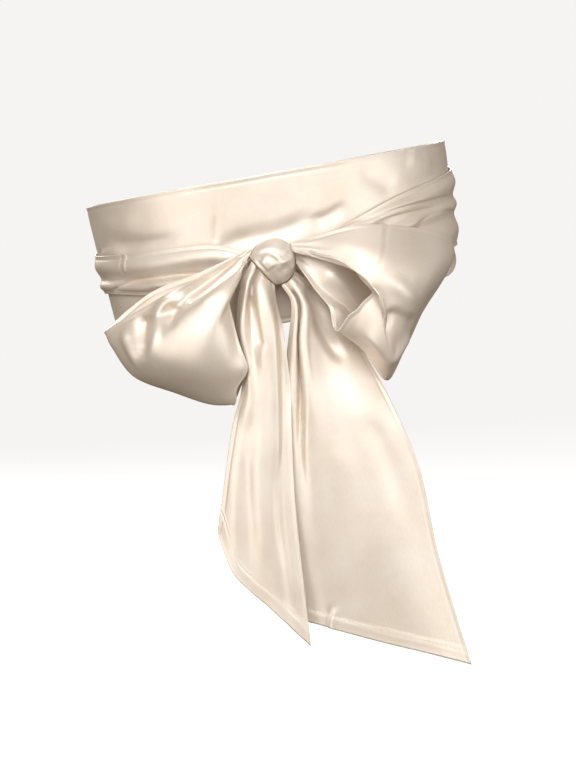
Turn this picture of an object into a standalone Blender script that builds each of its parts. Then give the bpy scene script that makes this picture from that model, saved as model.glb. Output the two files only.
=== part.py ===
# Satin sash wound twice round a waist and tied at the front in a drooping bow.
# Tables are in millimetres: x to the right, out towards the front (-Y), z up.
# The origin is the middle of the waist ring, halfway up the band.

import math

import bmesh
import bpy
import numpy as np
from mathutils import Vector

MM = 0.001
WALL = 1.2                  # satin folded double
SEAM_GAP = 0.7              # from the first turn to the second
NECK_GAP = 0.8              # from the knot to the middle of the cloth that leaves it

WAIST_HALF_WIDTH = 129.5
WAIST_HALF_DEPTH = 90.0
WAIST_TILT = math.radians(10.7)     # right side up

KNOT_CENTRE = (-4.0, 106.0, -7.5)
KNOT_RADII = (16.0, 15.0, 15.5)
KNOT_CORNERS = 0.07         # how far the knot's three corners stand out
KNOT_GROOVE = (5.0, 0.05, 1.6, 2.2)     # low point, bend, depth, half width

SATIN = (0.83, 0.73, 0.61, 1.0)
SATIN_ROUGHNESS = 0.34

# First turn of the sash, a row every 30 degrees: angle from the front (right is
# plus), upper and lower edge above the ring's middle, and how far the lower edge
# draws in.
BAND_ROW_STEP = 30
BAND_ROWS = [
    (-180, 52, -48, 0),
    (-150, 52, -50, 1),
    (-120, 52, -51, 3),
    (-90, 52, -51, 5),
    (-60, 53, -51, 3),
    (-30, 53, -51, 1),
    (0, 52, -50, 0),
    (30, 51, -49, 0),
    (60, 51, -42, 3),
    (90, 52, -28, 7),
    (120, 52, -34, 4),
    (150, 52, -44, 1),
]

# Second turn, from the knot round to the back: angle, upper edge, lower edge,
# how far it stands off the first turn, and the height of its folds.
WRAP_LEFT_ROWS = [
    (-8.6, 1, -15, 3.5, 1.0),
    (-13, 7, -17, 3.0, 2.0),
    (-20, 12, -16, 2.2, 2.4),
    (-32, 14, -15, 1.0, 2.4),
    (-46, 15, -15, 0.6, 2.4),
    (-60, 16, -12, 0.4, 2.4),
    (-76, 17, -10, 0.2, 2.4),
    (-95, 19, -11, 0.2, 2.0),
    (-120, 27, -15, 0.2, 1.2),
    (-148, 34, -20, 0.2, 1.0),
    (-168, 31, -26, 0.2, 1.0),
    (-184, 20, -36, 0.2, 1.0),
    (-200, 0, -45, 0.2, 1.0),
    (-213, -26, -44, 0.2, 0.5),
    (-220, -36, -41, 0.2, 0.0),
]
WRAP_RIGHT_ROWS = [
    (5.2, -1, -17, 3.5, 1.0),
    (12, 3, -22, 3.0, 2.0),
    (22, 9, -25, 2.2, 2.4),
    (38, 19, -27, 1.2, 2.4),
    (52, 24, -25, 0.8, 2.4),
    (68, 28, -23, 0.6, 2.4),
    (84, 31, -22, 0.4, 2.4),
    (105, 34, -22, 0.4, 2.0),
    (128, 36, -22, 1.2, 1.2),
    (144, 36, -24, 3.4, 1.0),
    (164, 33, -29, 3.7, 1.0),
    (184, 20, -38, 3.7, 1.0),
    (200, 0, -47, 3.7, 1.0),
    (214, -28, -49, 2.4, 0.5),
    (222, -41, -48, 0.2, 0.0),
]
WRAP_LEFT_VALLEYS = [0.0, 0.62, 1.0]        # shares of the width where folds meet
WRAP_RIGHT_VALLEYS = [0.0, 0.34, 0.58, 1.0]

# Loops: a row for each line along the ribbon, from the upper hem to the lower
# one. It leaves the knot, runs out in front, turns at the bend and comes back.
#    knot front       front near       front far        bend             back far        back near       knot back
LOOP_LEFT_LINES = [
    [(-17, 111, 5), (-59, 116, -21), (-103, 95, -46), (-119, 80, -56), (-88, 84, -30), (-53, 97, -15), (-17, 101, 4)],
    [(-19, 112, 3), (-60, 114, -31), (-97, 104, -58), (-113, 82, -68), (-88, 84, -44), (-50, 97, -22), (-18, 101, 2)],
    [(-20, 113, 0), (-54, 127, -36), (-85, 119, -68), (-98, 88, -87), (-78, 88, -55), (-45, 97, -29), (-20, 101, 0)],
    [(-21, 113, -2), (-43, 133, -43), (-58, 128, -78), (-70, 96, -97), (-58, 90, -68), (-38, 96, -36), (-20, 101, -3)],
    [(-21, 112, -4), (-38, 130, -42), (-36, 127, -81), (-47, 102, -104), (-42, 94, -74), (-33, 96, -37), (-20, 101, -5)],
    [(-21, 110, -6), (-35, 119, -26), (-21, 122, -75), (-30, 109, -104), (-30, 96, -75), (-29, 96, -39), (-20, 101, -7)],
]
LOOP_RIGHT_LINES = [
    [(9, 109, 6), (54, 121, 17), (98, 100, 14), (119, 76, 7), (93, 82, 13), (45, 99, 13), (9, 101, 5)],
    [(11, 111, 5), (61, 132, 2), (105, 112, -8), (121, 77, -12), (97, 80, -9), (45, 99, 3), (11, 101, 3)],
    [(12, 113, 4), (62, 137, -10), (92, 125, -34), (103, 86, -43), (84, 86, -35), (42, 101, -8), (13, 101, 0)],
    [(13, 113, 3), (59, 138, -17), (75, 130, -60), (82, 101, -85), (66, 98, -57), (35, 104, -19), (14, 102, -3)],
    [(14, 113, 1), (53, 136, -14), (69, 135, -41), (56, 113, -65), (43, 107, -45), (26, 107, -22), (15, 103, -6)],
    [(14, 111, -1), (40, 131, -5), (63, 135, -28), (40, 121, -53), (30, 115, -38), (21, 111, -21), (15, 105, -9)],
]

# Tails: a row for each height, from the knot down to the slanted hem, with the
# fold lines from the left edge to the right edge.
TAIL_LEFT_ROWS = [
    [(-20, 111, -10), (-18, 113, -13), (-16, 111, -16), (-13, 113, -18), (-10, 112, -21), (-7, 110, -23), (-4, 108, -24)],
    [(-27, 110, -25), (-24, 118, -26), (-17, 109, -28), (-11, 119, -29), (-4, 118, -33), (-2, 109, -36), (-1, 106, -39)],
    [(-27, 110, -58), (-22, 119, -60), (-14, 112, -61), (-7, 123, -61), (-1, 121, -62), (1, 109, -63), (5, 111, -64)],
    [(-24, 110, -92), (-19, 119, -92), (-12, 115, -93), (-6, 123, -93), (0, 122, -94), (3, 112, -95), (7, 115, -96)],
    [(-31, 112, -120), (-24, 120, -120), (-15, 119, -120), (-7, 124, -121), (0, 124, -121), (4, 114, -122), (8, 118, -122)],
    [(-38, 113, -170), (-27, 120, -173), (-16, 121, -175), (-8, 124, -177), (0, 126, -178), (5, 118, -179), (12, 122, -180)],
    [(-41, 113, -191), (-31, 118, -217), (-19, 121, -230), (-8, 123, -239), (2, 126, -248), (12, 122, -258), (22, 123, -267)],
]
TAIL_RIGHT_ROWS = [
    [(3, 108, -25), (5, 109, -24), (7, 107, -24), (10, 108, -22), (12, 105, -20), (14, 102, -18), (15, 99, -16)],
    [(10, 110, -42), (13, 112, -42), (16, 105, -42), (20, 112, -41), (27, 101, -42), (35, 97, -45), (41, 94, -47)],
    [(9, 110, -68), (13, 113, -68), (17, 106, -68), (22, 118, -69), (34, 104, -69), (49, 98, -71), (60, 94, -74)],
    [(10, 109, -116), (14, 112, -116), (19, 108, -117), (26, 119, -118), (42, 111, -122), (64, 115, -126), (84, 107, -130)],
    [(13, 109, -169), (17, 113, -172), (22, 111, -176), (30, 119, -178), (50, 115, -183), (76, 121, -189), (106, 112, -196)],
    [(19, 109, -249), (24, 112, -252), (30, 113, -254), (40, 119, -257), (64, 119, -263), (94, 123, -271), (131, 116, -281)],
]

PLEATS = 3                  # gathers across the ribbon where it leaves the knot
PLEAT_HEIGHT = 1.6
PLEAT_START = 0.12          # share of the loop's length where they are full
PLEAT_REACH = 0.3           # and where they have faded
LOOP_STEPS = (25, 16)       # samples along and across
TAIL_STEPS = (19, 16)
BAND_STEPS = (64, 7)
WRAP_STEPS = (28, 10)
KNOT_STEPS = (26, 14)


def smooth(rows, count):
    # samples spread evenly over a smooth curve through the rows
    rows = np.asarray(rows, dtype=float)
    before = 2 * rows[:1] - rows[1:2]
    after = 2 * rows[-1:] - rows[-2:-1]
    padded = np.concatenate([before, rows, after])
    samples = []
    for place in np.linspace(0, len(rows) - 1, count):
        start = min(int(place), len(rows) - 2)
        part = place - start
        p0, p1, p2, p3 = padded[start:start + 4]
        samples.append(0.5 * (
            2 * p1
            + (p2 - p0) * part
            + (2 * p0 - 5 * p1 + 4 * p2 - p3) * part ** 2
            + (3 * p1 - p0 - 3 * p2 + p3) * part ** 3
        ))
    return np.array(samples)


def ease(share):
    # 0 to 1 with soft ends
    share = min(max(share, 0.0), 1.0)
    return share * share * (3 - 2 * share)


def satin(name):
    material = bpy.data.materials.new(name)
    material.use_nodes = True
    shader = material.node_tree.nodes["Principled BSDF"]
    shader.inputs["Base Color"].default_value = SATIN
    shader.inputs["Roughness"].default_value = SATIN_ROUGHNESS
    shader.inputs["Metallic"].default_value = 0.0
    material.diffuse_color = SATIN
    return material


def sheet_object(name, grid, closed=False):
    # a sheet through the grid's points, given the cloth's thickness
    rows, columns = grid.shape[:2]
    points = [(x * MM, -out * MM, z * MM) for x, out, z in grid.reshape(-1, 3)]
    faces = []
    for row in range(rows if closed else rows - 1):
        here = row * columns
        there = (row + 1) % rows * columns
        for column in range(columns - 1):
            corner = (here + column, here + column + 1, there + column + 1, there + column)
            faces.append((corner[0], corner[1], corner[2]))
            faces.append((corner[0], corner[2], corner[3]))
    mesh = bpy.data.meshes.new(name)
    mesh.from_pydata(points, [], faces)
    mesh.shade_smooth()
    piece = bpy.data.objects.new(name, mesh)
    bpy.context.collection.objects.link(piece)
    mesh.materials.append(satin(name))
    wall = piece.modifiers.new("wall", "SOLIDIFY")
    wall.thickness = WALL * MM
    wall.offset = 0.0
    wall.use_quality_normals = True


def on_waist(angle, height, stand_off):
    # a point of the waist ring, whose right side is tilted up
    turn = math.radians(angle)
    across = (WAIST_HALF_WIDTH + stand_off) * math.sin(turn)
    out = (WAIST_HALF_DEPTH + stand_off) * math.cos(turn)
    return (
        across * math.cos(WAIST_TILT) - height * math.sin(WAIST_TILT),
        out,
        across * math.sin(WAIST_TILT) + height * math.cos(WAIST_TILT),
    )


def band_row(angle):
    # upper edge, lower edge and draw-in of the first turn at any angle
    start = BAND_ROWS[0][0]
    place = (angle - start) % 360 / BAND_ROW_STEP
    first = int(place) % len(BAND_ROWS)
    part = ease(place - int(place))
    here = np.array(BAND_ROWS[first][1:])
    there = np.array(BAND_ROWS[(first + 1) % len(BAND_ROWS)][1:])
    return here + (there - here) * part


def band_surface(angle, height):
    # how far the first turn stands off the plain ellipse
    top, bottom, draw_in = band_row(angle)
    return -draw_in * ease((top - height) / (top - bottom))


def waist_band():
    around, across = BAND_STEPS
    grid = np.zeros((around, across, 3))
    for step in range(around):
        angle = step * 360 / around
        top, bottom, _ = band_row(angle)
        for line in range(across):
            height = top + (bottom - top) * line / (across - 1)
            grid[step, line] = on_waist(angle, height, band_surface(angle, height))
    sheet_object("waist_band", grid, closed=True)


def fold_shape(share, valleys):
    # rounded folds that meet in the valleys
    for low, high in zip(valleys, valleys[1:]):
        if low <= share <= high:
            return math.sin(math.pi * (share - low) / (high - low)) ** 2
    return 0.0


def wrap(name, rows, valleys):
    # second turn: a gathered strip that lies on the first
    around, across = WRAP_STEPS
    grid = np.zeros((around, across, 3))
    for step, (angle, top, bottom, lift, fold) in enumerate(smooth(rows, around)):
        for line in range(across):
            share = line / (across - 1)
            height = top + (bottom - top) * share
            off = band_surface(angle, height) + WALL + SEAM_GAP
            off += lift + fold * fold_shape(share, valleys)
            grid[step, line] = on_waist(angle, height, off)
    grid[0] = [seated(point) for point in grid[0]]
    sheet_object(name, grid)


def pleated(grid):
    # gathers that fan out from the knot at both ends and fade with distance
    rows, columns = grid.shape[:2]
    result = grid.copy()
    for row in range(1, rows):
        for column in range(columns):
            along = grid[row, column] - grid[row - 1, column]
            left = grid[row, max(column - 1, 0)]
            right = grid[row, min(column + 1, columns - 1)]
            normal = np.cross(along, right - left)
            normal /= max(np.linalg.norm(normal), 1e-6)
            away = min(row, rows - 1 - row) / (rows - 1)
            near = ease(away / PLEAT_START) * ease(1 - away / PLEAT_REACH)
            wave = math.sin(2 * math.pi * PLEATS * column / (columns - 1))
            result[row, column] += normal * wave * PLEAT_HEIGHT * near
    return result


def loop(name, lines):
    along, across = LOOP_STEPS
    lines = [[seated(line[0])] + line[1:-1] + [seated(line[-1])] for line in lines]
    grid = smooth(smooth(lines, across).swapaxes(0, 1), along)
    sheet_object(name, pleated(grid))


def tail(name, rows):
    down, across = TAIL_STEPS
    rows = [[seated(point) for point in rows[0]]] + rows[1:]
    grid = smooth(smooth(rows, down).swapaxes(0, 1), across).swapaxes(0, 1)
    sheet_object(name, grid)


def knot_surface(across, out, up):
    # the knot's surface from its centre, in a direction of the unit ball
    corners = 1 + KNOT_CORNERS * math.sin(3 * math.atan2(up, across)) * math.hypot(across, up)
    return Vector((
        across * KNOT_RADII[0] * corners,
        out * KNOT_RADII[1],
        up * KNOT_RADII[2] * corners,
    ))


def seated(point):
    # the point moved straight in or out until it is just clear of the knot
    away = Vector(point) - Vector(KNOT_CENTRE)
    ball = Vector([part / radius for part, radius in zip(away, KNOT_RADII)]).normalized()
    surface = knot_surface(*ball)
    surface.length += NECK_GAP
    return tuple(Vector(KNOT_CENTRE) + surface)


def knot():
    # a rounded lump of gathered satin with a crease across its front
    shape = bmesh.new()
    around, up_down = KNOT_STEPS
    bmesh.ops.create_uvsphere(shape, u_segments=around, v_segments=up_down, radius=1.0)
    low_point, bend, depth, half_width = KNOT_GROOVE
    for vert in shape.verts:
        across, out, up = knot_surface(vert.co.x, -vert.co.y, vert.co.z)
        groove = up - bend * (across - low_point) ** 2
        out -= depth * math.exp(-(groove / half_width) ** 2) * ease(-vert.co.y)
        place = Vector(KNOT_CENTRE) + Vector((across, out, up))
        vert.co = (place.x * MM, -place.y * MM, place.z * MM)
    mesh = bpy.data.meshes.new("knot")
    shape.to_mesh(mesh)
    shape.free()
    mesh.shade_smooth()
    mesh.materials.append(satin("knot"))
    piece = bpy.data.objects.new("knot", mesh)
    bpy.context.collection.objects.link(piece)


for old in list(bpy.data.objects):
    bpy.data.objects.remove(old)

waist_band()
wrap("wrap_left", WRAP_LEFT_ROWS, WRAP_LEFT_VALLEYS)
wrap("wrap_right", WRAP_RIGHT_ROWS, WRAP_RIGHT_VALLEYS)
knot()
loop("loop_left", LOOP_LEFT_LINES)
loop("loop_right", LOOP_RIGHT_LINES)
tail("tail_left", TAIL_LEFT_ROWS)
tail("tail_right", TAIL_RIGHT_ROWS)
bpy.context.view_layer.update()
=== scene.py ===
from math import cos, pi, radians, sin

import bpy
import numpy as np
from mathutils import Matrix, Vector


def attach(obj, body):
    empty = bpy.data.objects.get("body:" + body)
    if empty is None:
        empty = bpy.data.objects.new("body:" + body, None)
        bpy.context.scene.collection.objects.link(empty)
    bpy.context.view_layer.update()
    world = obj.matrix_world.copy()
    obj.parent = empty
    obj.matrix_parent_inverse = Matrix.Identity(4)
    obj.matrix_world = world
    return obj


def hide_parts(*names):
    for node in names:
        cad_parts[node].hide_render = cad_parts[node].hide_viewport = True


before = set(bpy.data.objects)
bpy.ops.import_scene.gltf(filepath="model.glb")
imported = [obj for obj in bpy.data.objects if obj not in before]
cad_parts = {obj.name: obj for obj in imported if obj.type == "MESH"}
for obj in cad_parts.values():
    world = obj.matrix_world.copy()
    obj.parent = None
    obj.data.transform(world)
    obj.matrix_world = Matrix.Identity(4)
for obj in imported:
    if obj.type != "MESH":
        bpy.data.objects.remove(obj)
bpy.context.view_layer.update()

# Tables are in millimetres, as (x to the right, out towards the front, z up) from the middle of the
# ring. A crease is a route of (along, across) shares of its cloth, its height (a trough is below 0), its
# width to the left and to the right of the route, how much of its start and end fades away, and how
# round its top or bottom is: 2 when soft, 1 when pressed sharp.

mm = 0.001

waist = {"halfWidth": 129.5, "halfDepth": 90.0, "tilt": radians(10.7)}
cloth = {
    "thick": 1.0, "layerGap": 1.9, "cutWidth": 118.0,
    "edgeBead": 0.22, "beadWidth": 1.3, "edgeGroove": 0.176, "grooveIn": 3.0, "grooveWidth": 0.8,
    "foldRoom": 0.09,  # the highest fold, as a share of the gathered width
}


def smoothRows(rows, shares):  # reads a smooth curve through the rows at shares of its length
    rows = np.array(rows, float)
    full = np.concatenate([[2 * rows[0] - rows[1]], rows, [2 * rows[-1] - rows[-2]]])
    spots = np.asarray(shares) * (len(rows) - 1)
    cell = np.minimum(spots.astype(int), len(rows) - 2)
    t = (spots - cell).reshape([-1] + [1] * (rows.ndim - 1))
    before, here, after, beyond = (full[cell + k] for k in range(4))
    bend = 2 * before - 5 * here + 4 * after - beyond
    twist = 3 * here - before - 3 * after + beyond
    return 0.5 * (2 * here + (after - before) * t + bend * t**2 + twist * t**3)


def ease(share):
    share = np.clip(share, 0, 1)
    return share * share * (3 - 2 * share)


def evenShares(count):
    return np.linspace(0, 1, count)


def edgeShares(count, closer=0.055):  # closer together at both edges, where the hems are
    even = evenShares(count)
    return even - closer * np.sin(2 * pi * even)


def routeLine(route, samples):
    if len(route) > 2:
        return smoothRows(route, evenShares(samples))
    return np.linspace(*route, samples)


def makeSheet(grid, along, across, side, closed=False):
    return {"grid": grid, "along": along, "across": across, "side": side, "closed": closed}


def slopeOf(values, axis, closed):
    if closed and axis == 0:
        return np.roll(values, -1, 0) - np.roll(values, 1, 0)
    return np.gradient(values, axis=axis)


def normalsOf(sheet):  # side is 1 or -1, so that the normals point outwards
    grid = sheet["grid"]
    normals = np.cross(slopeOf(grid, 0, sheet["closed"]), slopeOf(grid, 1, False))
    lengths = np.linalg.norm(normals, axis=2, keepdims=True)
    return normals * sheet["side"] / np.maximum(lengths, 1e-9)


def spotsOn(sheet, route):  # places on the cloth, at shares along and across
    grid = sheet["grid"]
    i = np.interp(route[:, 0], sheet["along"], np.arange(grid.shape[0]))
    j = np.interp(route[:, 1], sheet["across"], np.arange(grid.shape[1]))
    i0 = np.minimum(i.astype(int), grid.shape[0] - 2)
    j0 = np.minimum(j.astype(int), grid.shape[1] - 2)
    u = (i - i0)[:, None]
    v = (j - j0)[:, None]
    low = grid[i0, j0] * (1 - v) + grid[i0, j0 + 1] * v
    high = grid[i0 + 1, j0] * (1 - v) + grid[i0 + 1, j0 + 1] * v
    return low * (1 - u) + high * u


def creaseLift(sheet, normals, crease, samples=70, layerShare=0.16):  # layerShare: how far along it acts
    route, height, left, right, fadeIn, fadeOut, *roundness = crease
    shares = np.clip(routeLine(route, samples), 0, 1)
    line = spotsOn(sheet, shares)
    heading = np.gradient(line, axis=0)
    step = np.linalg.norm(heading, axis=1, keepdims=True)
    heading = heading / np.maximum(step, 1e-9)
    points = sheet["grid"].reshape(-1, 3)
    nearest = np.argmin(((points[:, None, :] - line[None]) ** 2).sum(2), axis=1)
    away = points - line[nearest]
    ahead = (away * heading[nearest]).sum(1)
    inside = (nearest > 0) & (nearest < samples - 1)
    flat = np.sqrt(np.maximum((away**2).sum(1) - np.where(inside, ahead**2, 0), 0))
    leftward = np.cross(normals.reshape(-1, 3), heading[nearest])
    width = np.where((away * leftward).sum(1) > 0, left, right)
    place = np.clip((nearest + ahead / np.maximum(step[nearest, 0], 1e-9)) / (samples - 1), 0, 1)
    fade = np.ones(len(points))
    if fadeIn:
        fade *= ease(place / fadeIn)
    if fadeOut:
        fade *= ease((1 - place) / fadeOut)
    apart = np.abs(np.repeat(sheet["along"], len(sheet["across"])) - shares[nearest, 0])
    if sheet["closed"]:
        apart = np.minimum(apart, 1 - apart)
    form = np.exp(-((flat / width) ** (roundness[0] if roundness else 2)))
    return (height * fade * (apart < layerShare) * form).reshape(sheet["grid"].shape[:2])


def raiseBy(sheet, lift):  # never further than the gathered cloth has room for
    grid = sheet["grid"]
    rowWidth = np.linalg.norm(np.diff(grid, axis=1), axis=2).sum(1, keepdims=True)
    room = cloth["foldRoom"] * rowWidth
    sheet["grid"] = grid + normalsOf(sheet) * (room * np.tanh(lift / room))[..., None]


def pressCreases(sheet, creases):
    normals = normalsOf(sheet)
    raiseBy(sheet, sum(creaseLift(sheet, normals, crease) for crease in creases))


def pull(sheet, pulls):  # soft pushes and pulls: at, reach in shares, shift in x, out and z
    for (along, across), (reachAlong, reachAcross), shift in pulls:
        nearAlong = np.exp(-(((sheet["along"] - along) / reachAlong) ** 2))
        nearAcross = np.exp(-(((sheet["across"] - across) / reachAcross) ** 2))
        near = np.outer(nearAlong, nearAcross)[..., None]
        x, out, z = shift
        sheet["grid"] = sheet["grid"] + near * np.array([x, -out, z])


def gather(sheet, pleats, fromEnd=False, start=0.03):  # pleats: across, half width, height, reach along
    along = 1 - sheet["along"] if fromEnd else sheet["along"]
    across = sheet["across"]
    lift = np.zeros(sheet["grid"].shape[:2])
    for middle, half, height, reach in pleats:
        fade = ease(along / start) * (1 - ease(along / reach))
        lift += height * np.outer(fade, np.exp(-(((across - middle) / half) ** 2)))
    raiseBy(sheet, lift)


def unevenness(sheet, seed, height, longest=70.0, shortest=22.0, waves=9):  # slow waves in the satin
    draw = np.random.default_rng(seed)
    grid = sheet["grid"]
    lift = np.zeros(grid.shape[:2])
    for _ in range(waves):
        way = draw.normal(size=3)
        way /= np.linalg.norm(way)
        size = draw.uniform(shortest, longest)
        lift += np.sin(2 * pi * grid @ way / size + draw.uniform(0, 2 * pi)) * size / longest
    sheet["grid"] = grid + normalsOf(sheet) * (lift * height / np.sqrt(waves))[..., None]


def beadEdges(sheet):  # the turned edges of the doubled strip, slightly thicker
    grid = sheet["grid"]
    widths = np.linalg.norm(np.diff(grid, axis=1), axis=2)
    fromFirst = np.concatenate([np.zeros((len(grid), 1)), np.cumsum(widths, axis=1)], axis=1)
    lift = np.zeros(grid.shape[:2])
    for away in (fromFirst, fromFirst[:, -1:] - fromFirst):
        groove = np.exp(-(((away - cloth["grooveIn"]) / cloth["grooveWidth"]) ** 2))
        lift += cloth["edgeBead"] * np.exp(-((away / cloth["beadWidth"]) ** 2))
        lift -= cloth["edgeGroove"] * groove
    sheet["grid"] = grid + normalsOf(sheet) * lift[..., None]


knotSizes = {
    "centre": np.array([-4.0, 106.0, -7.5]),
    "radii": np.array([16.0, 15.0, 15.5]),
    "corners": 0.05,  # how far its three soft corners stand out, as a share
    "neckGap": 0.8,
    "flatSide": np.array([-0.735, 0.0, -0.678]),  # the winding's edge is straight, low on the left
    "flatAt": 9.0,
    "flatShare": 0.88,
}


def knotReach(across, out, up):  # the knot's plain surface in that direction
    corner = 1 - knotSizes["corners"] * np.cos(3 * np.arctan2(up, across)) * np.hypot(across, up)
    wide, deep, high = knotSizes["radii"]
    surface = np.stack([across * wide * corner, out * deep, up * high * corner], axis=-1)
    past = np.maximum(surface @ knotSizes["flatSide"] - knotSizes["flatAt"], 0)[..., None]
    return surface - past * knotSizes["flatShare"] * knotSizes["flatSide"]


def seat(point):  # moves a point to just clear of the knot's surface
    away = np.array(point, float) - knotSizes["centre"]
    way = away / knotSizes["radii"]
    surface = knotReach(*(way / np.linalg.norm(way)))
    gap = 1 + knotSizes["neckGap"] / np.linalg.norm(surface)
    return tuple(knotSizes["centre"] + surface * gap)


def toWorld(grid):  # x, out, z to x, y, z, still in millimetres
    return np.array(grid) * (1, -1, 1)


def loopSheet(piece):
    lines = [[seat(line[0])] + line[1:-1] + [seat(line[-1])] for line in piece["lines"]]
    along = evenShares(piece["steps"][0])
    across = edgeShares(piece["steps"][1])
    grid = smoothRows(smoothRows(lines, across).swapaxes(0, 1), along)
    return makeSheet(toWorld(grid), along, across, piece["side"])


def tailSheet(piece):
    rows = [[seat(spot) for spot in piece["rows"][0]]] + piece["rows"][1:]
    along = evenShares(piece["steps"][0])
    across = edgeShares(piece["steps"][1])
    grid = smoothRows(smoothRows(rows, along).swapaxes(0, 1), across).swapaxes(0, 1)
    return makeSheet(toWorld(grid), along, across, 1)


def onWaist(angle, height, standOff):
    side = (waist["halfWidth"] + standOff) * np.sin(np.radians(angle))
    out = (waist["halfDepth"] + standOff) * np.cos(np.radians(angle))
    tiltCos, tiltSin = cos(waist["tilt"]), sin(waist["tilt"])
    x = side * tiltCos - height * tiltSin
    z = side * tiltSin + height * tiltCos
    return np.stack([x, out, z], axis=-1)


# The satin

satin = {
    "paler": (0.885, 0.81, 0.725, 1),
    "deeper": (0.82, 0.715, 0.605, 1),
    "roughness": (0.45, 0.53),
    "metallic": 0.35,
    "specular": 1.0,
    "refraction": 1.8,
    "threadsPerMetre": 1700,
    "floatLength": 5,  # how many times longer than wide a thread shows
    "threadDepth": 0.0001,
    "streak": 0.14,
    "waveSize": 0.028,  # of the slow change of colour and gloss
    "puckersPerMetre": 95,
    "puckerDepth": 0.0006,
    "bumpStrength": 0.25,
}


def addNoise(tree, place, scale, detail):
    noise = tree.nodes.new("ShaderNodeTexNoise")
    noise.inputs["Scale"].default_value = scale
    noise.inputs["Detail"].default_value = detail
    tree.links.new(place, noise.inputs["Vector"])
    return noise.outputs["Fac"]


def addBump(tree, height, depth):
    bump = tree.nodes.new("ShaderNodeBump")
    bump.inputs["Strength"].default_value = satin["bumpStrength"]
    bump.inputs["Distance"].default_value = depth
    tree.links.new(height, bump.inputs["Height"])
    return bump


def satinMaterial(name):
    material = bpy.data.materials.new(name)
    material.use_nodes = True
    tree = material.node_tree
    nodes, links = tree.nodes, tree.links
    shader = nodes["Principled BSDF"]
    shader.inputs["Metallic"].default_value = satin["metallic"]
    shader.inputs["Specular IOR Level"].default_value = satin["specular"]
    shader.inputs["IOR"].default_value = satin["refraction"]
    spot = nodes.new("ShaderNodeTexCoord")

    patches = addNoise(tree, spot.outputs["Object"], 1 / satin["waveSize"], 3)
    spread = nodes.new("ShaderNodeMapRange")
    spread.inputs["From Min"].default_value = 0.3
    spread.inputs["From Max"].default_value = 0.7
    links.new(patches, spread.inputs["Value"])
    tint = nodes.new("ShaderNodeMix")
    tint.data_type = "RGBA"
    tint.inputs["A"].default_value = satin["deeper"]
    tint.inputs["B"].default_value = satin["paler"]
    links.new(spread.outputs["Result"], tint.inputs["Factor"])

    threads = nodes.new("ShaderNodeMapping")  # long floating threads along the strip
    count = satin["threadsPerMetre"]
    threads.inputs["Scale"].default_value = (count / satin["floatLength"], count, 1)
    links.new(spot.outputs["UV"], threads.inputs["Vector"])
    weave = addNoise(tree, threads.outputs["Vector"], 1, 2)
    streak = nodes.new("ShaderNodeMix")
    streak.data_type = "RGBA"
    streak.blend_type = "MULTIPLY"
    streak.inputs["Factor"].default_value = satin["streak"]
    links.new(tint.outputs["Result"], streak.inputs["A"])
    links.new(weave, streak.inputs["B"])
    links.new(streak.outputs["Result"], shader.inputs["Base Color"])

    gloss = nodes.new("ShaderNodeMapRange")
    gloss.inputs["To Min"].default_value = satin["roughness"][0]
    gloss.inputs["To Max"].default_value = satin["roughness"][1]
    links.new(patches, gloss.inputs["Value"])
    links.new(gloss.outputs["Result"], shader.inputs["Roughness"])

    # the faint puckering of two layers sewn together
    ripple = addNoise(tree, spot.outputs["Object"], satin["puckersPerMetre"], 2)
    puckered = addBump(tree, ripple, satin["puckerDepth"])
    woven = addBump(tree, weave, satin["threadDepth"])
    links.new(puckered.outputs["Normal"], woven.inputs["Normal"])
    links.new(woven.outputs["Normal"], shader.inputs["Normal"])
    return material


satinCloth = satinMaterial("champagneSatin")
print("satin ready")


def addPiece(name, mesh, material):
    mesh.shade_smooth()
    mesh.materials.append(material)
    piece = bpy.data.objects.new(name, mesh)
    bpy.context.scene.collection.objects.link(piece)
    return piece


def shellObject(name, sheet, length):
    grid = sheet["grid"]
    rows, columns = grid.shape[:2]
    index = np.arange(rows * columns).reshape(rows, columns)
    if sheet["closed"]:
        index = np.concatenate([index, index[:1]])
    around = [index[:-1, :-1], index[1:, :-1], index[1:, 1:], index[:-1, 1:]]
    quads = np.stack(around, axis=-1).reshape(-1, 4)
    if sheet["side"] < 0:
        quads = quads[:, ::-1]
    mesh = bpy.data.meshes.new(name)
    mesh.from_pydata((grid.reshape(-1, 3) * mm).tolist(), [], quads.tolist())
    layout = mesh.uv_layers.new(name="alongAndAcross")
    u = np.repeat(sheet["along"], columns) * length * mm
    v = np.tile(sheet["across"], rows) * cloth["cutWidth"] * mm
    corners = np.zeros(len(mesh.loops), int)
    mesh.loops.foreach_get("vertex_index", corners)
    layout.data.foreach_set("uv", np.stack([u[corners], v[corners]], axis=-1).ravel())
    piece = addPiece(name, mesh, satinCloth)
    wall = piece.modifiers.new("wall", "SOLIDIFY")
    wall.thickness = cloth["thick"] * mm
    wall.offset = 0
    wall.use_quality_normals = True
    return piece


def declare(piece, node):
    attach(piece, "root")
    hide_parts(node)


# The first turn round the waist

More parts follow.
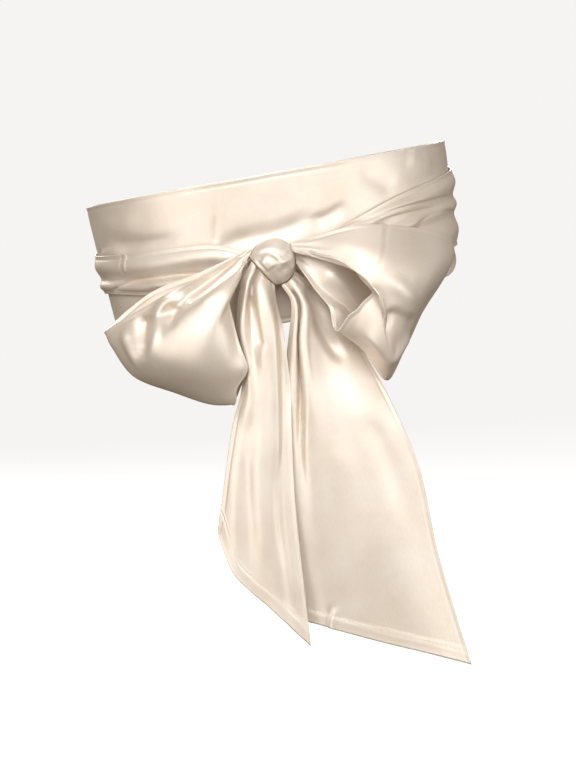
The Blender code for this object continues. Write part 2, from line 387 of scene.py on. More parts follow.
band = {
    "steps": (560, 84), "length": 695, "seed": 3, "waviness": 0.22,
    # angle from the front, upper edge, lower edge, how far the lower edge draws in
    "rows": [(-180, 52, -48, 0), (-150, 52, -50, 1), (-120, 52, -51, 3), (-90, 52, -51, 5),
             (-60, 53, -51, 3), (-30, 53, -51, 1), (0, 52, -50, 0), (30, 51, -49, 0),
             (60, 51, -42, 3), (90, 52, -28, 7), (120, 52, -34, 4), (150, 52, -44, 1)],
    "flat": (0.118, 0.695),
    # angles from the front and heights instead of shares
    "creases": [
        ([(-14.5, 51), (-15.5, 40), (-16.5, 30)], -0.2, 1.0, 2.0, 0.2, 0.4),
        ([(-16.5, 32), (-17.5, 22), (-18.5, 12)], -0.7, 0.9, 2.6, 0.5, 0.1),
        ([(-20, 8), (-10, 12), (2, 13), (14, 20)], -2.2, 5.0, 7.0, 0.3, 0.3),
        ([(10, 15), (17, 17), (24, 24)], -1.8, 3.0, 6.0, 0.3, 0.4),
        ([(-66, 26), (-52, 22), (-38, 20), (-27, 22)], -1.8, 5.0, 8.0, 0.3, 0.4),
        ([(-70, 38), (-55, 36), (-42, 40)], 1.2, 7.0, 8.0, 0.4, 0.4),
        ([(-74, 18), (-64, 19), (-52, 17)], 1.6, 2.0, 4.0, 0.2, 0.4),
        ([(28, 46), (36, 34), (42, 24)], -1.2, 8.0, 8.0, 0.3, 0.3),
        ([(50, 48), (56, 40), (66, 36)], 0.9, 8.0, 6.0, 0.3, 0.3),
        ([(116, 40), (140, 34), (160, 38)], -1.5, 7.0, 9.0, 0.3, 0.3),
        ([(186, 46), (200, 37), (222, 41)], -1.3, 6.0, 8.0, 0.3, 0.3),
        ([(228, 30), (246, 24), (262, 30)], -1.5, 7.0, 7.0, 0.3, 0.3),
    ],
}


def bandRow(angle):  # upper edge, lower edge and draw-in, eased between the rows
    rows = np.array(band["rows"], float)
    step = 360 / len(rows)
    place = (np.asarray(angle, float) + 180) / step
    cell = np.floor(place).astype(int)
    share = ease(place - cell)[..., None]
    return rows[cell % len(rows), 1:] * (1 - share) + rows[(cell + 1) % len(rows), 1:] * share


def bandStandOff(angle, height):
    top, bottom, drawIn = np.moveaxis(bandRow(angle), -1, 0)
    return -drawIn * ease((top - height) / (top - bottom))


def makeBand():
    along = np.arange(band["steps"][0]) / band["steps"][0]
    across = edgeShares(band["steps"][1])
    # the sheet starts at the back, so that no crease runs over its start
    angle = along[:, None] * 360 - 180 + 0 * across[None]
    top, bottom, _ = np.moveaxis(bandRow(angle), -1, 0)
    height = top + (bottom - top) * across[None]
    grid = toWorld(onWaist(angle, height, bandStandOff(angle, height)))
    sheet = makeSheet(grid, along, across, -1, closed=True)
    creases = []
    for route, *rest in band["creases"]:
        spots = []
        for spotAngle, spotHeight in route:
            rowTop, rowBottom, _ = bandRow(spotAngle)
            spots.append((((spotAngle + 180) / 360) % 1, (rowTop - spotHeight) / (rowTop - rowBottom)))
        creases.append((spots, *rest))
    pressCreases(sheet, creases)
    unevenness(sheet, band["seed"], band["waviness"])
    beadEdges(sheet)
    piece = shellObject("firstTurn", sheet, band["length"])
    declare(piece, "waist_band")
    print("first turn ready")


# The second turn, gathered narrower, from the knot round each side to the back

leftWrap = {
    "name": "secondTurnLeft", "node": "wrap_left", "steps": (330, 84), "side": 1, "length": 410,
    # angle from the front, upper edge, lower edge, stand-off, height of its folds
    "rows": [(-8.6, 1, -15, 3.5, 1.0), (-13, 7, -17, 3.0, 2.0), (-20, 12, -16, 2.2, 2.4),
             (-32, 14, -15, 1.0, 2.4), (-46, 15, -15, 0.6, 2.4), (-60, 16, -12, 0.4, 2.4),
             (-76, 17, -10, 0.2, 2.4), (-95, 19, -11, 0.2, 2.0), (-120, 27, -15, 0.2, 1.2),
             (-148, 34, -20, 0.2, 1.0), (-168, 31, -26, 0.2, 1.0), (-184, 20, -36, 0.2, 1.0),
             (-200, 0, -45, 0.2, 1.0), (-213, -26, -44, 0.2, 0.5), (-220, -36, -41, 0.2, 0.0)],
    "valleys": [0.0, 0.62, 1.0],
    "flat": (0.050, 0.41),
    "creases": [
        ([(0.39, 0.92), (0.35, 0.73), (0.30, 0.62), (0.24, 0.62), (0.18, 0.66), (0.10, 0.70)],
         -2.8, 1.0, 2.4, 0.1, 0.3),
        ([(0.325, 0.0), (0.327, 0.25), (0.33, 0.5)], 0.7, 0.9, 0.9, 0.0, 0.3),
        ([(0.335, 0.0), (0.338, 0.25), (0.34, 0.5)], -0.5, 0.7, 0.7, 0.0, 0.3),
        ([(0.29, 0.72), (0.25, 0.80), (0.20, 0.86)], 0.8, 2.5, 2.5, 0.4, 0.4),
        ([(0.06, 0.3), (0.16, 0.26), (0.26, 0.22)], 0.5, 3.0, 5.0, 0.4, 0.4),
        ([(0.50, 0.35), (0.62, 0.42), (0.74, 0.40)], -1.2, 3.0, 5.0, 0.3, 0.3),
        ([(0.58, 0.70), (0.70, 0.66), (0.80, 0.72)], -0.9, 2.5, 4.0, 0.3, 0.3),
    ],
}

rightWrap = {
    "name": "secondTurnRight", "node": "wrap_right", "steps": (340, 96), "side": -1, "length": 410,
    "rows": [(5.2, -1, -17, 3.5, 1.0), (12, 3, -22, 3.0, 2.0), (22, 9, -25, 2.2, 2.4),
             (38, 19, -27, 1.2, 2.4), (52, 24, -25, 0.8, 2.4), (68, 28, -23, 0.6, 2.4),
             (84, 31, -22, 0.4, 2.4), (105, 34, -22, 0.4, 2.0), (128, 36, -22, 1.2, 1.2),
             (144, 36, -24, 3.4, 1.0), (164, 33, -29, 3.7, 1.0), (184, 20, -38, 3.7, 1.0),
             (200, 0, -47, 3.7, 1.0), (214, -28, -49, 2.4, 0.5), (222, -41, -48, 0.2, 0.0)],
    "valleys": [0.0, 0.34, 0.58, 1.0],
    "flat": (0.056, 0.41),
    "creases": [
        ([(0.10, 0.04), (0.14, 0.05), (0.20, 0.14), (0.30, 0.24), (0.41, 0.33)],
         -1.0, 0.9, 2.6, 0.2, 0.2),
        ([(0.17, 0.20), (0.24, 0.28), (0.34, 0.40)], -0.9, 1.0, 2.2, 0.3, 0.2),
        ([(0.25, 0.56), (0.28, 0.46), (0.33, 0.46), (0.41, 0.58)], -1.6, 2.0, 4.0, 0.3, 0.2),
        ([(0.13, 0.0), (0.135, 0.10)], -0.5, 0.7, 0.7, 0.1, 0.3),
        ([(0.145, 0.0), (0.15, 0.12)], -0.4, 0.6, 0.6, 0.1, 0.3),
        ([(0.52, 0.30), (0.63, 0.36), (0.75, 0.34)], -1.2, 3.0, 5.0, 0.3, 0.3),
        ([(0.60, 0.66), (0.70, 0.60), (0.82, 0.68)], -0.9, 2.5, 4.0, 0.3, 0.3),
    ],
}


def foldShape(across, valleys):  # soft folds between the valleys
    cells = np.interp(across, valleys, np.arange(len(valleys)))
    return np.sin(pi * cells) ** 2


def makeWrap(wrap):
    along = evenShares(wrap["steps"][0])
    across = edgeShares(wrap["steps"][1])
    angle, top, bottom, lift, fold = smoothRows(wrap["rows"], along).T[..., None]
    height = top + (bottom - top) * across[None]
    angles = angle + 0 * height
    folds = fold * foldShape(across, wrap["valleys"])[None]
    standOff = bandStandOff(angles, height) + cloth["layerGap"] + lift + folds
    grid = onWaist(angles, height, standOff)
    grid[0] = [seat(spot) for spot in grid[0]]
    sheet = makeSheet(toWorld(grid), along, across, wrap["side"])
    pressCreases(sheet, wrap["creases"])
    beadEdges(sheet)
    piece = shellObject(wrap["name"], sheet, wrap["length"])
    declare(piece, wrap["node"])
    print(wrap["name"], "ready")


# The loops: lines from the upper hem to the mouth's edge, each out from the knot, round its bend and back

leftLoop = {
    "name": "loopLeft", "node": "loop_left", "steps": (236, 130), "side": 1, "length": 220,
    "seed": 11, "waviness": 0.18,
    "lines": [
        [(-17, 111, 5), (-59, 116, -21), (-103, 95, -46),
         (-119, 80, -56), (-88, 84, -30), (-53, 97, -15), (-17, 101, 4)],
        [(-19, 112, 3), (-60, 114, -31), (-97, 104, -58),
         (-113, 82, -68), (-88, 84, -44), (-50, 97, -22), (-18, 101, 2)],
        [(-20, 113, 0), (-54, 127, -36), (-85, 119, -68),
         (-98, 88, -87), (-78, 88, -55), (-45, 97, -29), (-20, 101, 0)],
        [(-21, 113, -2), (-43, 133, -43), (-58, 128, -78),
         (-70, 96, -97), (-58, 90, -68), (-38, 96, -36), (-20, 101, -3)],
        [(-21, 112, -4), (-38, 130, -42), (-36, 127, -81),
         (-47, 102, -104), (-42, 94, -74), (-33, 96, -37), (-20, 101, -5)],
        [(-21, 110, -6), (-35, 119, -26), (-21, 122, -75),
         (-30, 109, -104), (-30, 96, -75), (-29, 96, -39), (-20, 101, -7)],
    ],
    "flat": (0.085, 0.22),
    "pulls": [
        ((0.285, 1.0), (0.05, 0.12), (-2.2, 0, 0)),
        ((0.345, 1.0), (0.025, 0.10), (0.9, 0, -0.8)),
        ((0.410, 1.0), (0.035, 0.14), (-3.6, 0, 0.5)),
        ((0.640, 1.0), (0.08, 0.22), (7.5, 0, 0)),
    ],
    "gathersFront": [(0.12, 0.05, 0.9, 0.10), (0.30, 0.06, 1.1, 0.16),
                     (0.50, 0.06, 0.9, 0.12), (0.72, 0.07, 1.0, 0.14)],
    "gathersBack": [(0.2, 0.07, 0.8, 0.14), (0.55, 0.08, 1.0, 0.2), (0.8, 0.06, 0.8, 0.12)],
    "creases": [
        ([(0.02, 0.62), (0.06, 0.45), (0.10, 0.36), (0.15, 0.30), (0.185, 0.24)],
         -3.4, 4.0, 1.6, 0.1, 0.1, 1.2),
        ([(0.03, 0.75), (0.08, 0.56), (0.13, 0.46), (0.18, 0.40)], 1.8, 6.0, 3.0, 0.3, 0.3),
        ([(0.185, 0.24), (0.20, 0.13), (0.22, 0.09),
          (0.24, 0.14), (0.27, 0.30), (0.33, 0.40), (0.42, 0.42)],
         3.6, 3.4, 5.0, 0.1, 0.5),
        ([(0.20, 0.20), (0.225, 0.26), (0.25, 0.42)], -3.2, 4.0, 2.8, 0.1, 0.5),
        ([(0.28, 0.05), (0.30, 0.20), (0.34, 0.33), (0.38, 0.38)], -4.0, 4.5, 5.5, 0.2, 0.4),
        ([(0.36, 0.06), (0.37, 0.20), (0.39, 0.34), (0.43, 0.42)], 2.2, 4.0, 4.5, 0.3, 0.5),
        ([(0.07, 0.72), (0.14, 0.86), (0.22, 0.90), (0.32, 0.90)], 1.8, 6.0, 9.0, 0.3, 0.3),
        ([(0.62, 0.30), (0.72, 0.42), (0.84, 0.46)], -2.4, 6.0, 6.0, 0.4, 0.2),
        ([(0.66, 0.68), (0.76, 0.66), (0.88, 0.60)], -1.8, 5.0, 6.0, 0.4, 0.2),
    ],
}

rightLoop = {
    "name": "loopRight", "node": "loop_right", "steps": (236, 130), "side": -1, "length": 220,
    "seed": 13, "waviness": 0.18,
    "lines": [
        [(9, 109, 6), (54, 121, 17), (98, 100, 14),
         (119, 76, 7), (93, 82, 13), (45, 99, 13), (9, 101, 5)],
        [(11, 111, 5), (61, 132, 2), (105, 112, -8),
         (121, 77, -12), (97, 80, -9), (45, 99, 3), (11, 101, 3)],
        [(12, 113, 4), (62, 137, -10), (92, 125, -34),
         (103, 86, -43), (84, 86, -35), (42, 101, -8), (13, 101, 0)],
        [(13, 113, 3), (59, 138, -17), (75, 130, -60),
         (82, 101, -85), (66, 98, -57), (35, 104, -19), (14, 102, -3)],
        [(14, 113, 1), (53, 136, -14), (69, 135, -41),
         (56, 113, -65), (43, 107, -45), (26, 107, -22), (15, 103, -6)],
        [(14, 111, -1), (40, 131, -5), (63, 135, -28),
         (40, 121, -53), (30, 115, -38), (21, 111, -21), (15, 105, -9)],
    ],
    "flat": (0.095, 0.22),
    "pulls": [
        ((0.04, 1.0), (0.04, 0.20), (0, 0, 3.5)),
        ((0.27, 1.0), (0.03, 0.10), (-2.4, 0, 0)),
        ((0.38, 1.0), (0.035, 0.12), (-3.5, 0, 1.5)),
        ((0.44, 1.0), (0.035, 0.12), (-2.0, 0, 4.0)),
        ((0.46, 0.42), (0.09, 0.20), (-6.0, 0, 0)),
        ((0.49, 0.20), (0.06, 0.10), (-2.0, 0, 0)),
        ((0.505, 0.54), (0.06, 0.07), (-3.2, 0, 0)),
        ((0.48, 0.64), (0.06, 0.10), (-3.5, 0, -2.6)),
        ((0.66, 0.88), (0.10, 0.20), (5, 5, 2)),
        ((0.82, 0.52), (0.09, 0.22), (0, 9, 0)),
        ((0.34, 1.0), (0.08, 0.12), (0, -6, 0)),
        ((0.42, 0.76), (0.06, 0.13), (0, 5, 0)),
    ],
    "gathersFront": [(0.10, 0.05, 0.7, 0.10), (0.30, 0.06, 1.0, 0.16),
                     (0.52, 0.06, 0.9, 0.12), (0.78, 0.07, 1.1, 0.14)],
    "gathersBack": [(0.25, 0.07, 0.8, 0.14), (0.6, 0.08, 0.9, 0.16)],
    "creases": [
        ([(0.222, 0.0), (0.20, 0.11), (0.18, 0.29), (0.17, 0.44)], 0.22, 1.0, 1.0, 0.0, 0.2),
        ([(0.235, 0.0), (0.212, 0.11), (0.192, 0.29), (0.18, 0.44)], -0.2, 0.8, 0.8, 0.0, 0.2),
        ([(0.26, 0.90), (0.262, 0.70), (0.275, 0.53), (0.33, 0.47), (0.41, 0.44)],
         -2.4, 3.0, 8.0, 0.15, 0.12),
        ([(0.20, 0.42), (0.28, 0.40), (0.36, 0.40)], 1.6, 6.0, 6.0, 0.4, 0.4),
        ([(0.40, 0.47), (0.385, 0.56), (0.40, 0.68), (0.43, 0.80), (0.46, 0.92)],
         3.2, 5.0, 6.0, 0.1, 0.3, 1.6),
        ([(0.03, 0.36), (0.09, 0.34), (0.15, 0.36)], -0.8, 4.0, 4.0, 0.2, 0.5),
        ([(0.62, 0.30), (0.72, 0.36), (0.84, 0.40)], -2.0, 6.0, 6.0, 0.4, 0.2),
        ([(0.66, 0.60), (0.76, 0.58), (0.88, 0.56)], -1.4, 5.0, 6.0, 0.4, 0.2),
    ],
}


def makeLoop(loop):
    sheet = loopSheet(loop)
    pull(sheet, loop["pulls"])
    gather(sheet, loop["gathersFront"])
    gather(sheet, loop["gathersBack"], fromEnd=True)
    pressCreases(sheet, loop["creases"])
    unevenness(sheet, loop["seed"], loop["waviness"])
    beadEdges(sheet)
    piece = shellObject(loop["name"], sheet, loop["length"])
    declare(piece, loop["node"])
    print(loop["name"], "ready")


# The tails: rows from the knot down to the slanted hem, each from the left edge to the right

leftTail = {
    "name": "tailLeft", "node": "tail_left", "steps": (290, 110), "length": 270,
    "seed": 17, "waviness": 0.18,
    "rows": [
        [(-20, 111, -10), (-18, 113, -13), (-16, 111, -16),
         (-13, 113, -18), (-10, 112, -21), (-7, 110, -23), (-4, 108, -24)],
        [(-25, 110, -23), (-21, 117, -24), (-18, 110, -25),
         (-14, 118, -26), (-8, 118, -28), (-4, 112, -31), (-2, 108, -33)],
        [(-28, 111, -54), (-24, 118, -54), (-18, 113, -54),
         (-11, 121, -54), (-3, 121, -54), (0, 115, -55), (3, 112, -56)],
        [(-24, 112, -89), (-20, 118, -90), (-15, 119, -89),
         (-9, 121, -89), (-1, 122, -90), (2, 115, -91), (8, 113, -92)],
        [(-31, 113, -120), (-24, 118, -120), (-17, 119, -121),
         (-10, 121, -120), (-1, 122, -120), (3, 118, -121), (9, 117, -121)],
        [(-38, 114, -169), (-29, 119, -170), (-20, 119, -171),
         (-11, 122, -172), (-2, 123, -174), (4, 120, -175), (12, 121, -176)],
        [(-41, 113, -191), (-31, 118, -217), (-19, 120, -230),
         (-8, 122, -239), (3, 124, -249), (12, 123, -258), (22, 123, -267)],
    ],
    "flat": (0.100, 0.26), "area": 0.0140,
    "gathers": [(0.08, 0.03, 0.5, 0.08), (0.24, 0.04, 0.6, 0.12),
                (0.52, 0.04, 0.5, 0.10), (0.74, 0.04, 0.5, 0.09)],
    "creases": [
        ([(0.0, 0.30), (0.12, 0.32), (0.18, 0.37), (0.23, 0.44)], -2.4, 1.0, 1.6, 0.0, 0.3, 1.2),
        ([(0.18, 0.36), (0.26, 0.38), (0.33, 0.42), (0.395, 0.45)], -3.2, 3.6, 3.4, 0.3, 0.15),
        ([(0.24, 0.17), (0.34, 0.16), (0.44, 0.22)], 0.8, 3.0, 3.0, 0.4, 0.4),
        ([(0.60, 0.14), (0.70, 0.20), (0.80, 0.24), (0.88, 0.26)], -1.6, 5.0, 6.0, 0.3, 0.5),
        ([(0.64, 0.40), (0.80, 0.44), (0.95, 0.52)], 0.9, 6.0, 6.0, 0.4, 0.2),
        ([(0.72, 0.70), (0.84, 0.72), (0.93, 0.76)], -1.3, 3.0, 3.5, 0.4, 0.4),
        ([(0.70, 0.86), (0.84, 0.86), (0.97, 0.88)], 1.0, 3.0, 3.0, 0.4, 0.2),
    ],
}

rightTail = {
    "name": "tailRight", "node": "tail_right", "steps": (300, 140), "length": 270,
    "seed": 19, "waviness": 0.18,
    "rows": [
        [(3, 108, -25), (5, 109, -24), (7, 107, -24), (10, 108, -22),
         (12, 105, -20), (14, 102, -18), (15, 99, -16)],
        [(9, 109, -36), (12, 111, -36), (14, 105, -37),
         (17, 111, -36), (25, 106, -36), (34, 100, -39), (42, 96, -41)],
        [(7, 109, -62), (11, 113, -62), (14, 107, -62),
         (17, 114, -62), (29, 107, -63), (45, 101, -65), (57, 95, -68)],
        [(3, 110, -96), (11, 114, -96), (15, 109, -96), (20, 118, -96),
         (35, 113, -98), (56, 112, -102), (77, 108, -104)],
        [(2, 112, -137), (10, 116, -137), (15, 115, -137),
         (22, 119, -137), (42, 116, -140), (68, 117, -144), (96, 112, -150)],
        [(4, 113, -189), (12, 116, -190), (20, 118, -191), (30, 119, -193),
         (50, 118, -197), (78, 121, -202), (109, 114, -208)],
        [(12, 110, -249), (20, 113, -252), (29, 115, -254),
         (39, 117, -257), (66, 119, -264), (97, 123, -271), (131, 116, -281)],
    ],
    "flat": (0.118, 0.28), "area": 0.0230,
    "gathers": [(0.14, 0.04, 0.5, 0.10), (0.58, 0.05, 0.6, 0.12), (0.78, 0.05, 0.6, 0.12)],
    "creases": [
        ([(0.05, 0.34), (0.20, 0.34), (0.36, 0.33), (0.52, 0.34)], -2.4, 1.2, 1.8, 0.1, 0.5, 1.3),
        ([(0.06, 0.70), (0.16, 0.67), (0.25, 0.68), (0.34, 0.74), (0.40, 0.80)],
         -5.0, 6.0, 4.0, 0.2, 0.3),
        ([(0.16, 0.52), (0.34, 0.51), (0.60, 0.51)], 1.0, 2.5, 5.0, 0.3, 0.5),
        ([(0.52, 0.84), (0.66, 0.88), (0.80, 0.90)], -1.8, 7.0, 7.0, 0.3, 0.4),
        ([(0.60, 0.66), (0.76, 0.70), (0.92, 0.72)], 1.0, 9.0, 9.0, 0.3, 0.3),
        ([(1.0, 0.44), (0.975, 0.47), (0.95, 0.50)], -1.0, 1.4, 1.6, 0.0, 0.5),
        ([(1.0, 0.47), (0.975, 0.50), (0.955, 0.54)], 0.9, 1.4, 1.6, 0.0, 0.5),
    ],
}


def makeTail(tail):
    sheet = tailSheet(tail)
    gather(sheet, tail["gathers"])
    pressCreases(sheet, tail["creases"])
    unevenness(sheet, tail["seed"], tail["waviness"])
    beadEdges(sheet)
    hemStep(sheet)
    piece = shellObject(tail["name"], sheet, tail["length"])
    stitches = hemStitches(tail["name"] + "Stitches", sheet)
    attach(stitches, "root")
    declare(piece, tail["node"])
    print(tail["name"], "ready")


hem = {
    "width": 9.4, "step": 0.50, "stepWidth": 0.8, "seamIn": 1.2,
    "groove": 0.50, "grooveWidth": 0.7, "bead": 0.25, "beadWidth": 1.2,
}

stitching = {
    "length": 2.3, "pitch": 3.1, "thick": 0.42, "sunk": 0.18, "sides": 6, "endGap": 2,
    # share along the stitch, share of its thickness there, how many times deeper it is sunk
    "profile": [(0, 0.35, 2.2), (0.12, 0.85, 1.2), (0.5, 1, 1), (0.88, 0.85, 1.2), (1, 0.35, 2.2)],
}


def fromHem(sheet):  # length along each thread to the slanted hem
    steps = np.linalg.norm(np.diff(sheet["grid"], axis=0), axis=2)
    run = np.concatenate([np.zeros((1, steps.shape[1])), np.cumsum(steps, axis=0)])
    return run[-1:] - run


def hemSlant(sheet):  # how much longer the hem is to cross along a thread than square to it
    edge = np.gradient(sheet["grid"][-1], axis=0)
    thread = sheet["grid"][-1] - sheet["grid"][-6]
    edge /= np.linalg.norm(edge, axis=1, keepdims=True)
    thread /= np.linalg.norm(thread, axis=1, keepdims=True)
    lean = np.abs((edge * thread).sum(1))
    return 1 / np.sqrt(np.maximum(1 - lean**2, 0.15))  # the limit is for the long points of the ends


def hemStep(sheet):  # the end is turned up once and sewn
    away = fromHem(sheet) / hemSlant(sheet)[None]
    fromSeam = away - hem["width"]
    doubled = hem["step"] * (1 - ease((fromSeam + hem["stepWidth"] / 2) / hem["stepWidth"]))
    groove = hem["groove"] * np.exp(-(((fromSeam + hem["seamIn"]) / hem["grooveWidth"]) ** 2))
    bead = hem["bead"] * np.exp(-((away / hem["beadWidth"]) ** 2))
    sheet["grid"] = sheet["grid"] + normalsOf(sheet) * (doubled - groove + bead)[..., None]


def seamLine(sheet):  # places of the seam, how the cloth faces there, and the length run so far
    away = fromHem(sheet) / hemSlant(sheet)[None]
    seam = hem["width"] - hem["seamIn"]
    normals = normalsOf(sheet)
    line = []
    facing = []
    for column in range(2, sheet["grid"].shape[1] - 2):
        row = np.interp(-seam, -away[:, column], np.arange(len(away)))
        low = int(row)
        share = row - low
        line.append(sheet["grid"][low, column] * (1 - share) + sheet["grid"][low + 1, column] * share)
        facing.append(normals[low, column])
    line = np.array(line)
    run = np.concatenate([[0], np.cumsum(np.linalg.norm(np.diff(line, axis=0), axis=1))])
    return line, np.array(facing), run


def hemStitches(name, sheet):  # a row of short threads along the hem
    line, facing, run = seamLine(sheet)
    along, fullness, deeper = np.array(stitching["profile"]).T
    half = stitching["thick"] / 2 * fullness
    rise = cloth["thick"] / 2 + stitching["thick"] / 2 - stitching["sunk"] * deeper
    sides = stitching["sides"]
    verts, faces = [], []
    gap = stitching["endGap"]
    for start in np.arange(gap, run[-1] - stitching["length"] - gap, stitching["pitch"]):
        spots = start + stitching["length"] * along
        middle = np.stack([np.interp(spots, run, line[:, k]) for k in range(3)], axis=-1)
        out = np.stack([np.interp(spots, run, facing[:, k]) for k in range(3)], axis=-1)
        heading = middle[-1] - middle[0]
        heading /= np.linalg.norm(heading)
        first = len(verts)
        for spot, up, radius, lift in zip(middle, out, half, rise):
            across = np.cross(up, heading)
            for turn in np.linspace(0, 2 * pi, sides, endpoint=False):
                rim = up * (lift + radius * sin(turn)) + across * radius * cos(turn)
                verts.append((spot + rim) * mm)
        last = first + (len(along) - 1) * sides
        for ring in range(first, last, sides):
            for k in range(sides):
                a, b = ring + k, ring + (k + 1) % sides
                faces.append((a, b, b + sides, a + sides))
        faces.append(tuple(first + k for k in reversed(range(sides))))
        faces.append(tuple(last + k for k in range(sides)))
    mesh = bpy.data.meshes.new(name)
    mesh.from_pydata([tuple(v) for v in verts], [], faces)
    mesh.uv_layers.new(name="alongAndAcross")
    return addPiece(name, mesh, satinCloth)


# The knot: the cloth wound round itself, an upper fold over a fuller lower one

knot = {
    "name": "knotWinding", "node": "knot", "finer": 6, "fade": 0.25,
    # routes in x and z from the knot's middle, on its front
    "creases": [
        ([(-13.5, 4.4), (-7, 6.2), (-1.7, 6.2), (3, 3.6), (5.6, -0.4)], -1.4, 2.6, 1.5),
        ([(5.2, -1.2), (9.8, 1.2), (15.0, 3.4)], 1.1, 1.4, 2.2),
        ([(4.5, 4.0), (9, 5.4), (14, 7)], -1.0, 1.8, 1.8),
        ([(-13.2, 1.6), (-7.2, -4.2), (-0.6, -11.4)], 0.45, 0.8, 0.8),
        ([(-11.8, 2.0), (-6.0, -3.4), (0.6, -10.4)], -0.45, 0.8, 1.2),
        ([(-8, 2.5), (-3, -1), (0, -5)], 1.3, 4.5, 4.5),
        ([(2, -8), (8, -6), (13, -3)], -1.1, 3.0, 4.0),
        ([(7.4, -0.6), (9.2, -2.4), (11.4, -5.0)], -0.45, 0.5, 0.6),
        ([(9.0, 0.2), (10.8, -1.6), (13.0, -4.0)], -0.4, 0.5, 0.6),
        ([(5.8, -1.6), (7.6, -3.6), (9.4, -6.4)], -0.4, 0.5, 0.6),
    ],
}


def makeKnot():
    bpy.ops.mesh.primitive_ico_sphere_add(subdivisions=knot["finer"], radius=1)
    piece = bpy.context.object
    piece.name = knot["name"]
    mesh = piece.data
    ball = np.zeros(len(mesh.vertices) * 3)
    mesh.vertices.foreach_get("co", ball)
    ball = ball.reshape(-1, 3)
    ball /= np.linalg.norm(ball, axis=1, keepdims=True)
    x, out, z = ball[:, 0], -ball[:, 1], ball[:, 2]
    plain = knotReach(x, out, z)
    spots = plain.copy()
    wide, deep, high = knotSizes["radii"]
    front = ease(out / knot["fade"])
    samples = 60
    for route, height, left, right in knot["creases"]:
        line = routeLine(route, samples)
        heading = np.gradient(line, axis=0)
        heading /= np.linalg.norm(heading, axis=1, keepdims=True)
        flat = plain[:, [0, 2]]
        nearest = np.argmin(((flat[:, None] - line[None]) ** 2).sum(2), axis=1)
        away = flat - line[nearest]
        leftward = heading[nearest, 0] * away[:, 1] - heading[nearest, 1] * away[:, 0]
        width = np.where(leftward > 0, left, right)
        place = nearest / (samples - 1)
        fade = ease(place / knot["fade"]) * ease((1 - place) / knot["fade"])
        form = np.exp(-((away**2).sum(1) / width**2))
        spots += ball * (1, -1, 1) * (height * fade * front * form)[:, None]
    world = toWorld(spots + knotSizes["centre"]) * mm
    mesh.vertices.foreach_set("co", world.ravel())
    layout = mesh.uv_layers.active or mesh.uv_layers.new(name="alongAndAcross")
    corners = np.zeros(len(mesh.loops), int)
    mesh.loops.foreach_get("vertex_index", corners)
    turn = np.arctan2(x, out) * wide * mm
    layout.data.foreach_set("uv", np.stack([turn[corners], (z * high * mm)[corners]], axis=-1).ravel())
    mesh.shade_smooth()
    mesh.materials.clear()
    mesh.materials.append(satinCloth)
    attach(piece, "root")
    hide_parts(knot["node"])
    print("knot ready")


makeKnot()
makeBand()
makeWrap(leftWrap)
makeWrap(rightWrap)
makeLoop(leftLoop)
makeLoop(rightLoop)
makeTail(leftTail)
makeTail(rightTail)


# The studio

studio = {
    "floorHeight": -0.46, "reach": 5.0, "bend": 2.5, "rim": 4.0, "sides": 96, "rings": 25,
    "floorColour": (0.12, 0.119, 0.118, 1), "floorRoughness": 0.9,
    "grainScale": 3, "grainShade": 0.985,
    "glow": (1, 0.995, 0.985, 1), "glowStrength": 0.875,
    "cameraSpot": (0.00648, -1.8, 0.05), "cameraAim": (0.00648, 0, -0.09936),
    "lens": 117.59, "sensorHeight": 36,
    "lightAim": (0, -0.08, -0.08), "sky": (1, 0.78, 0.56, 1), "skyStrength": 0.16,
}

lights = {  # place, size, power in watts, colour
    "keySoftbox": ((-0.35, -2.0, 0.95), (3.0, 1.2), 51, (1, 0.995, 0.99)),
    "fillSoftbox": ((1.7, -1.4, 0.05), (1.2, 1.0), 14, (1, 0.99, 0.97)),
    "topSoftbox": ((0.1, 0.1, 1.7), (1.4, 1.0), 5, (1, 0.985, 0.96)),
    "backSoftbox": ((-0.5, 2.0, 1.0), (2.4, 1.4), 80, (1, 1, 1)),
    "lowSoftbox": ((-1.3, -1.3, -0.35), (0.8, 1.2), 9, (1, 0.94, 0.86)),
}


def facing(spot, aim):
    return (Vector(aim) - Vector(spot)).to_track_quat("-Z", "Y").to_euler()


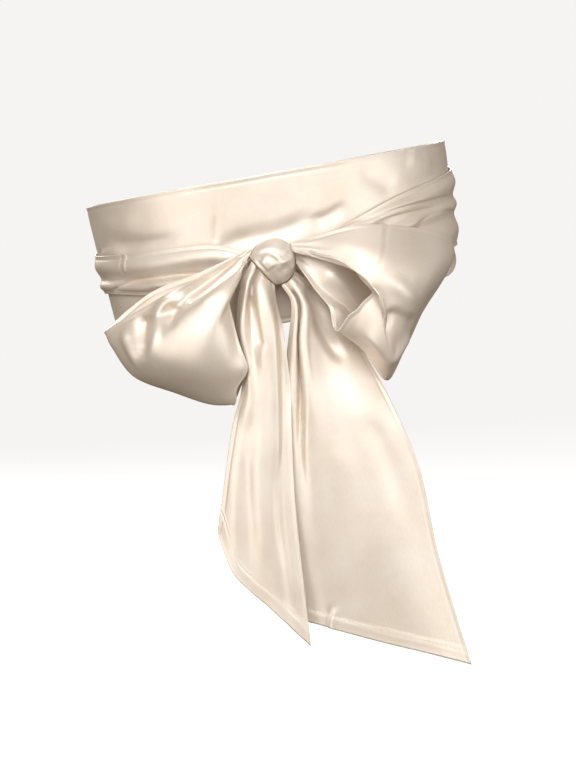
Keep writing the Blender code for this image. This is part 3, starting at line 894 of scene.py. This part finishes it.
def palePaper():
    paper = bpy.data.materials.new("palePaper")
    paper.use_nodes = True
    nodes, links = paper.node_tree.nodes, paper.node_tree.links
    shader = nodes["Principled BSDF"]
    shader.inputs["Roughness"].default_value = studio["floorRoughness"]
    shader.inputs["Emission Color"].default_value = studio["glow"]
    shader.inputs["Emission Strength"].default_value = studio["glowStrength"]
    grain = nodes.new("ShaderNodeTexNoise")
    grain.inputs["Scale"].default_value = studio["grainScale"]
    blend = nodes.new("ShaderNodeMix")
    blend.data_type = "RGBA"
    darker = [studio["grainShade"] * c for c in studio["floorColour"][:3]]
    blend.inputs["A"].default_value = studio["floorColour"]
    blend.inputs["B"].default_value = (*darker, 1)
    links.new(grain.outputs["Fac"], blend.inputs["Factor"])
    links.new(blend.outputs["Result"], shader.inputs["Base Color"])
    return paper


def makeFloor():  # a round floor that curves up softly on every side, behind the camera too
    low, reach, bend, sides = studio["floorHeight"], studio["reach"], studio["bend"], studio["sides"]
    curve = np.linspace(0, pi / 2, studio["rings"])
    profile = [(reach - bend + bend * sin(t), low + bend * (1 - cos(t))) for t in curve]
    profile += [(reach, studio["rim"])]
    turns = np.linspace(0, 2 * pi, sides, endpoint=False)
    verts = [(r * cos(turn), r * sin(turn), z) for r, z in profile for turn in turns]
    faces = [tuple(range(sides))]
    for ring in range(len(profile) - 1):
        for k in range(sides):
            a, b = ring * sides + k, ring * sides + (k + 1) % sides
            faces.append((b, a, a + sides, b + sides))
    mesh = bpy.data.meshes.new("studioFloor")
    mesh.from_pydata(verts, [], faces)
    floor = addPiece("studioFloor", mesh, palePaper())
    floor.visible_glossy = False
    floor.visible_diffuse = False


def makeLights():
    for name, (spot, size, power, colour) in lights.items():
        lamp = bpy.data.lights.new(name, "AREA")
        lamp.shape = "RECTANGLE"
        lamp.size, lamp.size_y = size
        lamp.energy = power
        lamp.color = colour
        light = bpy.data.objects.new(name, lamp)
        light.location = spot
        light.rotation_euler = facing(spot, studio["lightAim"])
        bpy.context.scene.collection.objects.link(light)
    world = bpy.data.worlds.new("studioAir")
    world.use_nodes = True
    sky = world.node_tree.nodes["Background"]
    sky.inputs["Color"].default_value = studio["sky"]
    sky.inputs["Strength"].default_value = studio["skyStrength"]
    bpy.context.scene.world = world


def makeCamera():
    lens = bpy.data.cameras.new("photoCamera")
    lens.sensor_fit = "VERTICAL"
    lens.sensor_height = studio["sensorHeight"]
    lens.lens = studio["lens"]
    camera = bpy.data.objects.new("photoCamera", lens)
    camera.location = studio["cameraSpot"]
    camera.rotation_euler = facing(studio["cameraSpot"], studio["cameraAim"])
    bpy.context.scene.collection.objects.link(camera)
    bpy.context.scene.camera = camera


makeFloor()
makeLights()
makeCamera()
bpy.context.scene.view_settings.view_transform = "Standard"
print("studio ready")
